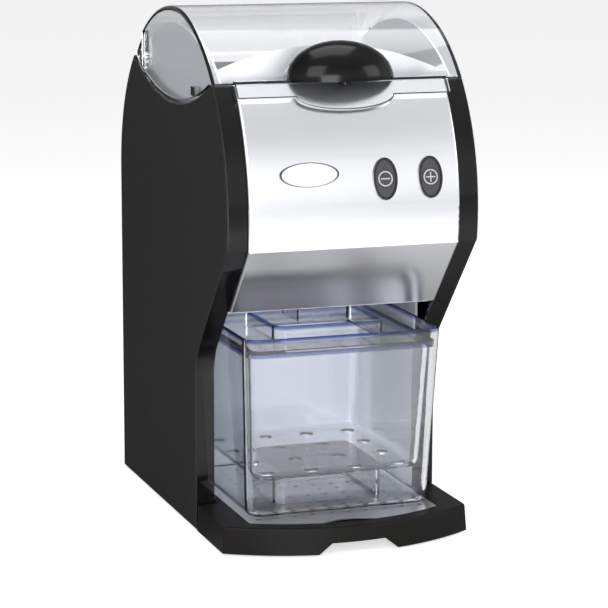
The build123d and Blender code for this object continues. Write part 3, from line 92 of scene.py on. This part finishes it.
class Finish:
    """The node tree of one material or of the world."""

    def __init__(self, name, owner=None):
        self.owner = owner or bpy.data.materials.new(name)
        self.owner.use_nodes = True
        self.tree = self.owner.node_tree
        self.tree.nodes.clear()
        kind = "World" if owner else "Material"
        self.output = self.tree.nodes.new("ShaderNodeOutput" + kind)

    def link(self, value, socket):
        if isinstance(value, Val):
            self.tree.links.new(value.socket, socket)
        elif value is not None:
            socket.default_value = value

    def add(self, kind, values=(), out=0, **settings):
        node = self.tree.nodes.new(kind)
        for name, setting in settings.items():
            setattr(node, name, setting)
        pairs = values.items() if isinstance(values, dict) else enumerate(values)
        for place, value in pairs:
            self.link(value, node.inputs[place])
        return Val(self, node.outputs[out])

    def show(self, shader, socket="Surface"):
        self.link(shader, self.output.inputs[socket])
        return self.owner

    def place(self, axis=None, scale=None):
        """Object coordinates, one axis of them, or all of them stretched."""
        point = self.add("ShaderNodeTexCoord", out="Object")
        if scale:
            point = self.add("ShaderNodeMapping", {"Vector": point, "Scale": scale})
        if axis is None:
            return point
        return self.add("ShaderNodeSeparateXYZ", [point], out=axis)

    def noise(self, scale, detail=2.0, stretch=(1, 1, 1), rough=0.5):
        return self.add("ShaderNodeTexNoise", {"Vector": self.place(scale=stretch), "Scale": scale,
                                               "Detail": detail, "Roughness": rough})

    def tint(self, share, first, second):
        """first where share is 0 and second where it is 1."""
        return self.add("ShaderNodeMix", {"Factor": share, 6: (*first, 1), 7: (*second, 1)}, out=2,
                        data_type="RGBA")

    def bump(self, height, depth, strength=1.0):
        return self.add("ShaderNodeBump", {"Height": height, "Distance": depth, "Strength": strength})

    def surface(self, colour, rough, metal=0.0, normal=None, **more):
        values = {"Base Color": (*colour, 1) if isinstance(colour, tuple) else colour,
                  "Roughness": rough, "Metallic": metal}
        if normal is not None:
            values["Normal"] = normal
        values.update({name.replace("_", " "): value for name, value in more.items()})
        return self.add("ShaderNodeBsdfPrincipled", values)


def dress(material, *names):
    for name in names:
        nodes[name].data.materials.clear()
        nodes[name].data.materials.append(material)


TABLE_REACH = 14.0
floor_mesh = bmesh.new()
bmesh.ops.create_grid(floor_mesh, x_segments=1, y_segments=1, size=TABLE_REACH)
floor_data = bpy.data.meshes.new("table_top")
floor_mesh.to_mesh(floor_data)
floor_mesh.free()
table_top = bpy.data.objects.new("table_top", floor_data)
scene.collection.objects.link(table_top)
pale = Finish("pale_table")
seen, mirrored, passed = [pale.add("ShaderNodeLightPath", out=out) for out in
                          ("Is Camera Ray", "Is Glossy Ray", "Is Transmission Ray")]
# mirrored in the object, the table is bright before it and dim behind it: for glossy rays only, a painted
# reflection glows before the object and painted shade darkens the table behind it
FRONT_END, BACK_START = -0.34, 0.0
before = 1.0 - pale.place("Y").fade(FRONT_END, BACK_START)
table_tone = pale.tint(mirrored * (1.0 - before), (0.82, 0.82, 0.83), (0.16, 0.16, 0.17))
lit = pale.add("ShaderNodeBsdfDiffuse", [table_tone])
glow = pale.add("ShaderNodeEmission", {"Color": (1, 1, 1, 1),
                                       "Strength": (seen + passed) * 0.62 + mirrored * before * 0.5})
floor_data.materials.append(pale.show(pale.add("ShaderNodeAddShader", [lit, glow])))
table_top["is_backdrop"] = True

scene.world = bpy.data.worlds.new("tent")
tent = Finish("tent", owner=scene.world)
toward = tent.add("ShaderNodeTexCoord", out="Generated")
up, back = [tent.add("ShaderNodeSeparateXYZ", [toward], out=axis) for axis in ("Z", "Y")]
bands = tent.add("ShaderNodeValToRGB", [up])
ramp = bands.socket.node.color_ramp
BAND_LEVELS = ((0.0, 0.62), (0.06, 0.9), (0.32, 0.98), (0.55, 0.6), (0.8, 0.66), (1.0, 0.98))
for stop, level in BAND_LEVELS:
    spot = ramp.elements.new(stop) if stop not in (0.0, 1.0) else ramp.elements[int(stop)]
    spot.color = (level, level * 1.005, level * 1.02, 1)
path = {out: tent.add("ShaderNodeLightPath", out=out) for out in
        ("Is Camera Ray", "Is Transmission Ray", "Is Glossy Ray")}
TENT_FILL, FRONT_GLOSS, GLOSS_DROP = 0.42, 0.72, 0.75
mirror_gain = FRONT_GLOSS - GLOSS_DROP * back.fade(-0.2, 0.6)
tent_light = tent.add("ShaderNodeBackground", {
    "Color": bands, "Strength": TENT_FILL + path["Is Glossy Ray"] * mirror_gain})
tent_white = tent.add("ShaderNodeBackground", {"Color": (1, 1, 1, 1), "Strength": 1.0})
straight = path["Is Camera Ray"].math("MAXIMUM", path["Is Transmission Ray"])
tent.show(tent.add("ShaderNodeMixShader", [straight, tent_light, tent_white]))

for name, at, aim, size, watts in (
        ("soft_box_left", (-1.3, -1.5, 1.5), (0, 0, 0.25), 1.3, 21.0),
        ("soft_box_right", (1.7, -1.2, 1.1), (0, 0, 0.2), 1.0, 9.0),
        ("soft_box_top", (0.1, 0.3, 2.1), (0, 0, 0.3), 1.4, 14.0),
        ("soft_box_low", (-0.35, -1.5, 0.45), (0, 0.1, 0.1), 0.7, 12.0)):
    lamp = bpy.data.lights.new(name, "AREA")
    lamp.size, lamp.energy, lamp.shape = size, watts, "SQUARE"
    box_lamp = bpy.data.objects.new(name, lamp)
    scene.collection.objects.link(box_lamp)
    box_lamp.location = at
    box_lamp.rotation_euler = (Vector(aim) - Vector(at)).to_track_quat("-Z", "Y").to_euler()

lens = bpy.data.cameras.new("camera")
lens.lens, lens.sensor_width, lens.clip_start, lens.clip_end = CAMERA_LENS, 36.0, 0.05, 30.0
camera = bpy.data.objects.new("camera", lens)
scene.collection.objects.link(camera)
camera.location = CAMERA_AT
camera.rotation_mode = "QUATERNION"
camera.rotation_quaternion = ((CAMERA_AIM - CAMERA_AT).to_track_quat("-Z", "Y")
                              @ Quaternion((0, 0, 1), CAMERA_ROLL))
scene.camera = camera

# ------------------------------------------------------------- side panels
# Two black mouldings carry the machine.  Their sides have a fine leather-like
# grain from the mould, their wide front rims are polished.
half_width = cad_box[1][0]
RIM_END, GRAIN_START = 0.0016, 0.0009   # in from the outer faces
panel = Finish("black_panel")
side = panel.place("X").math("ABSOLUTE").fade(half_width - RIM_END, half_width - GRAIN_START)
grain = panel.noise(1500, 3, rough=0.6)
drift = panel.noise(9, 3)
panel_colour = panel.tint(side, (0.004, 0.004, 0.0045), (0.024, 0.0236, 0.0228))
panel_rough = side * (0.34 + drift * 0.1) + 0.07 + grain * side * 0.06
black_panel = panel.show(panel.surface(
    panel_colour, panel_rough, normal=panel.bump(grain * side + drift * 0.6, 0.00006, 0.5),
    Specular_IOR_Level=0.12, Coat_Weight=(1.0 - side) * 0.3, Coat_Roughness=0.05))
dress(black_panel, "side_panel_left", "side_panel_right")

# -------------------------------------------------------------- steel front
# One sheet of satin stainless steel, bowed over the buttons and folded back
# under the nose.  The long side edges are rounded and catch the light.
steel = Finish("satin_steel")
lines = steel.noise(260, 2, stretch=(0.04, 3, 3))
cloud = steel.noise(14, 2)
front_rough = 0.2 + lines * 0.07 + cloud * 0.03
satin_steel = steel.show(steel.surface(
    steel.tint(cloud, (0.79, 0.795, 0.81), (0.84, 0.845, 0.86)), front_rough, 1.0,
    normal=steel.bump(lines, 0.00001, 0.35)))
dress(satin_steel, "front_panel")

# -------------------------------------------------------------------- badge
# A bare oval plate of pale satin aluminium with a dark painted border, glued
# on the steel to the left of the buttons.
badge_low, badge_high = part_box("badge_plate")
badge_mid = (badge_low + badge_high) / 2
badge = Finish("bare_badge")
reach = ((badge.place("X") - badge_mid.x) / ((badge_high.x - badge_low.x) / 2)) ** 2.0
rise = ((badge.place("Z") - badge_mid.z) / ((badge_high.z - badge_low.z) / 2)) ** 2.0
BORDER_FROM, BORDER_FULL = 0.86, 0.89   # squared share of the way to the rim
border = (reach + rise).fade(BORDER_FROM, BORDER_FULL)
brushed = badge.noise(400, 2, stretch=(0.05, 2, 2))
bare_badge = badge.show(badge.surface(
    badge.tint(border, (0.72, 0.73, 0.75), (0.02, 0.02, 0.022)), 0.3 + brushed * 0.12,
    1.0 - border, normal=badge.bump(brushed, 0.00001, 0.4)))
dress(bare_badge, "badge_plate")

# ------------------------------------------------------------------ buttons
# Two oval keys in glossy black bezels.  A fine groove rings the printed
# circle with the minus or plus sign; the print is light grey.
def speckled(name, scale, first, second, rough, metal=0.0, detail=2.0):
    """A plain finish whose colour wanders a little between two tones."""
    plain = Finish(name)
    return plain.show(plain.surface(plain.tint(plain.noise(scale, detail), first, second), rough, metal))


bezel = Finish("bezel_gloss")
bezel_gloss = bezel.show(bezel.surface((0.008, 0.008, 0.009), 0.12 + bezel.noise(60) * 0.05,
                                       normal=bezel.bump(bezel.noise(90), 0.00003, 0.3)))
dress(bezel_gloss, "button_bezel_minus", "button_bezel_plus")
key = Finish("key_plastic")
key_grain = key.noise(2200, 2)
key_plastic = key.show(key.surface(key.tint(key_grain, (0.028, 0.028, 0.03), (0.04, 0.04, 0.043)),
                                   0.42 + key_grain * 0.1, normal=key.bump(key_grain, 0.00003, 0.5)))
dress(key_plastic, "button_minus", "button_plus")
dress(speckled("grey_print", 900, (0.42, 0.43, 0.45), (0.5, 0.51, 0.53), 0.45),
      "button_mark_minus", "button_mark_plus")
dress(speckled("switch_plastic", 400, (0.02, 0.02, 0.02), (0.03, 0.03, 0.03), 0.5),
      "switch_minus", "switch_plus", "lid_sensor")


# ---------------------------------------------------------------------- lid
# A roof of clear polycarbonate, moulded in one piece with its side walls and a
# skirt in front of the steel.  Lamps shine through it, so it throws no shadow.
RIM_BLUE, BLUE_END, BLUE_FULL = (0.12, 0.2, 0.55), 0.005, 0.0015


def clear_plastic(name, tint, rough, absorb, density, bend=1.45, rim=None):
    """rim: height of a moulded edge, where the plastic is seen along its thickness."""
    clear = Finish(name)
    ripple = clear.noise(22, 2)
    haze = clear.noise(60, 3)
    colour = tint
    if rim is not None:
        near_rim = (clear.place("Z") - rim).math("ABSOLUTE").fade(BLUE_END, BLUE_FULL)
        colour = clear.tint(near_rim, tint, RIM_BLUE)
    body = clear.surface(colour, rough + haze * 0.025, normal=clear.bump(ripple, 0.0003, 0.25),
                         Transmission_Weight=1.0, IOR=bend)
    through = clear.add("ShaderNodeBsdfTransparent", [(0.98, 0.985, 0.99, 1)])
    shadow = clear.add("ShaderNodeLightPath", out="Is Shadow Ray")
    clear.show(clear.add("ShaderNodeMixShader", [shadow, body, through]))
    cast_tint = {"Color": (*absorb, 1), "Density": density}
    clear.show(clear.add("ShaderNodeVolumeAbsorption", cast_tint), "Volume")
    return clear.owner


lid_clear = clear_plastic("lid_clear", (0.985, 0.99, 1.0), 0.02, (0.55, 0.66, 0.9), 5.0)
dress(lid_clear, "lid_shell")

# the half-dome grip: solid glossy black with the soft orange peel of a thick moulding
grip = Finish("grip_black")
grip_black = grip.show(grip.surface((0.002, 0.002, 0.0025), 0.14 + grip.noise(40) * 0.06,
                                    normal=grip.bump(grip.noise(70), 0.00008, 0.3),
                                    Specular_IOR_Level=0.2))
dress(grip_black, "lid_knob")
dress(speckled("magnet_coat", 500, (0.2, 0.2, 0.2), (0.27, 0.27, 0.27), 0.4, 0.8), "lid_magnet")

# ---------------------------------------------------- hopper, screws, guard
# Stainless sheet, bead blasted: two side plates, a tapered pan and an arched
# guard.  Two slotted pan head screws are the lid's pivots.
sheet = Finish("blasted_steel")
blast = sheet.noise(2600, 2, rough=0.7)
smudge = sheet.noise(16, 3)
blasted = sheet.show(sheet.surface(
    sheet.tint(smudge, (0.60, 0.61, 0.63), (0.70, 0.71, 0.73)), 0.36 + smudge * 0.1, 1.0,
    normal=sheet.bump(blast, 0.00004, 0.5)))
dress(blasted, "hopper_side_left", "hopper_side_right", "hopper_pan", "hopper_guard", "chute")
bolt = Finish("bright_screw")
bolt_tone = bolt.tint(bolt.noise(300), (0.62, 0.61, 0.58), (0.74, 0.73, 0.7))
bright_screw = bolt.show(bolt.surface(bolt_tone, 0.2 + bolt.noise(700) * 0.12, 1.0))
dress(bright_screw, "pivot_screw_left", "pivot_screw_right", "back_screws")

# ---------------------------------------------------------- crusher and drive
# A sand cast housing with a hardened toothed rotor and breaker comb, bronze
# bearings, and a gear train from the motor behind the hopper.
cast = Finish("cast_alloy")
sand = cast.noise(420, 4, rough=0.65)
cast_tone = cast.tint(sand, (0.42, 0.43, 0.44), (0.56, 0.57, 0.58))
dress(cast.show(cast.surface(cast_tone, 0.5 + sand * 0.1, 0.9, normal=cast.bump(sand, 0.0002, 0.5))),
      "crusher_housing")
blade = Finish("ground_steel")
ground = blade.noise(300, 2, stretch=(4, 0.2, 4))
blade_tone = blade.tint(ground, (0.5, 0.5, 0.52), (0.66, 0.66, 0.68))
dress(blade.show(blade.surface(blade_tone, 0.25 + ground * 0.15, 1.0,
                               normal=blade.bump(ground, 0.00003, 0.4))),
      "rotor_drum", "breaker_comb", "rotor_gear", "motor_pinion", "rotor_shaft", "motor_shaft",
      "idler_stud")
bronze = Finish("sintered_bronze")
pores = bronze.noise(1200, 2)
dress(bronze.show(bronze.surface(bronze.tint(pores, (0.42, 0.27, 0.12), (0.55, 0.37, 0.18)), 0.4, 0.9,
                                 normal=bronze.bump(pores, 0.00005, 0.4))), "bearing_left", "bearing_right")
dress(speckled("white_nylon", 50, (0.72, 0.7, 0.64), (0.8, 0.78, 0.72), 0.4), "idler_gear", "capacitor")
enamel = Finish("motor_enamel")
peel = enamel.noise(700, 2)
dress(enamel.show(enamel.surface(enamel.tint(peel, (0.05, 0.055, 0.06), (0.075, 0.08, 0.085)), 0.4,
                                 normal=enamel.bump(peel, 0.00006, 0.4))), "motor")
dress(speckled("coated_board", 200, (0.01, 0.08, 0.03), (0.03, 0.16, 0.06), 0.35, detail=4),
      "control_board")

# ------------------------------------------------------------------ chassis
# Zinc plated floor, deck and gear plate, a powder coated rear panel with slots,
# and pale grey on the back and both sides of the bay, painted light in place of the light that falls into
# the bay.  Four rubber feet.
zinc = Finish("zinc_plate")
spangle = zinc.add("ShaderNodeTexVoronoi", {"Vector": zinc.place(), "Scale": 160.0}, out="Color")
zinc_tone = zinc.add("ShaderNodeMix", {"Factor": 0.25, 6: (0.48, 0.49, 0.5, 1), 7: spangle}, out=2,
                     data_type="RGBA")
dress(zinc.show(zinc.surface(zinc_tone, 0.38, 1.0)), "base_plate", "deck", "gear_plate")
powder = Finish("powder_coat")
specks = powder.noise(1700, 3, rough=0.7)
powder_tone = powder.tint(specks, (0.011, 0.011, 0.011), (0.02, 0.02, 0.02))
dress(powder.show(powder.surface(powder_tone, 0.45 + specks * 0.12,
                                 normal=powder.bump(specks, 0.00008, 0.6))), "back_panel")
dress(speckled("inlet_black", 30, (0.012, 0.012, 0.013), (0.02, 0.02, 0.021), 0.3), "power_inlet")
bay = Finish("bay_painted_pale")
bay_cloud = bay.noise(12, 2)
# the bay's pale grey is painted light: a brightness that stands in for the light falling into the bay
# through the bin
bay_painted_light_tone = bay.tint(bay_cloud, (0.56, 0.58, 0.62), (0.66, 0.68, 0.72))
dress(bay.show(bay.surface(bay_painted_light_tone, 0.42 + bay_cloud * 0.1, 0.15,
                           normal=bay.bump(bay.noise(1400), 0.00001, 0.2))),
      "bay_back", "bay_side_left", "bay_side_right")
rubber = Finish("foot_rubber")
rubber_tone = rubber.tint(rubber.noise(300), (0.012, 0.012, 0.012), (0.025, 0.025, 0.025))
dress(rubber.show(rubber.surface(rubber_tone, 0.8,
                                 normal=rubber.bump(rubber.noise(900), 0.00005, 0.5))), "feet")

# ---------------------------------------------------------------- drip tray
# Black moulding with the same grain as the sides, and a satin steel grille
# with square holes that drops into its rim.
tray = Finish("tray_black")
tray_grain = tray.noise(1500, 3, rough=0.6)
tray_drift = tray.noise(11, 2)
tray_tone = tray.tint(tray_drift, (0.006, 0.0055, 0.005), (0.01, 0.0093, 0.0085))
dress(tray.show(tray.surface(tray_tone, 0.38 + tray_grain * 0.1,
                             normal=tray.bump(tray_grain, 0.00006, 0.5),
                             Specular_IOR_Level=0.1)), "drip_tray")
grille = Finish("grille_steel")
grille_lines = grille.noise(300, 2, stretch=(0.06, 3, 3))
grille_tone = grille.tint(grille_lines, (0.78, 0.785, 0.8), (0.86, 0.865, 0.88))
dress(grille.show(grille.surface(grille_tone, 0.28 + grille_lines * 0.12, 1.0,
                                 normal=grille.bump(grille_lines, 0.00002, 0.4))), "drip_grille")

# ---------------------------------------------------------------------- bin
# Clear polycarbonate with a blue cast along its upper edges: the outer bin, the
# basket with round drain holes that stands on its raised block, the cover, the
# spout.
for name in ("bin_outer", "bin_basket", "bin_cover", "spout"):
    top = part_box(name)[1].z
    dress(clear_plastic(name + "_clear", (0.975, 0.983, 1.0), 0.015, (0.3, 0.42, 0.95), 1.6,
                        bend=1.42, rim=top), name)

size = {"cad": cad_box, "visual": [list(corner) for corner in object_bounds()]}
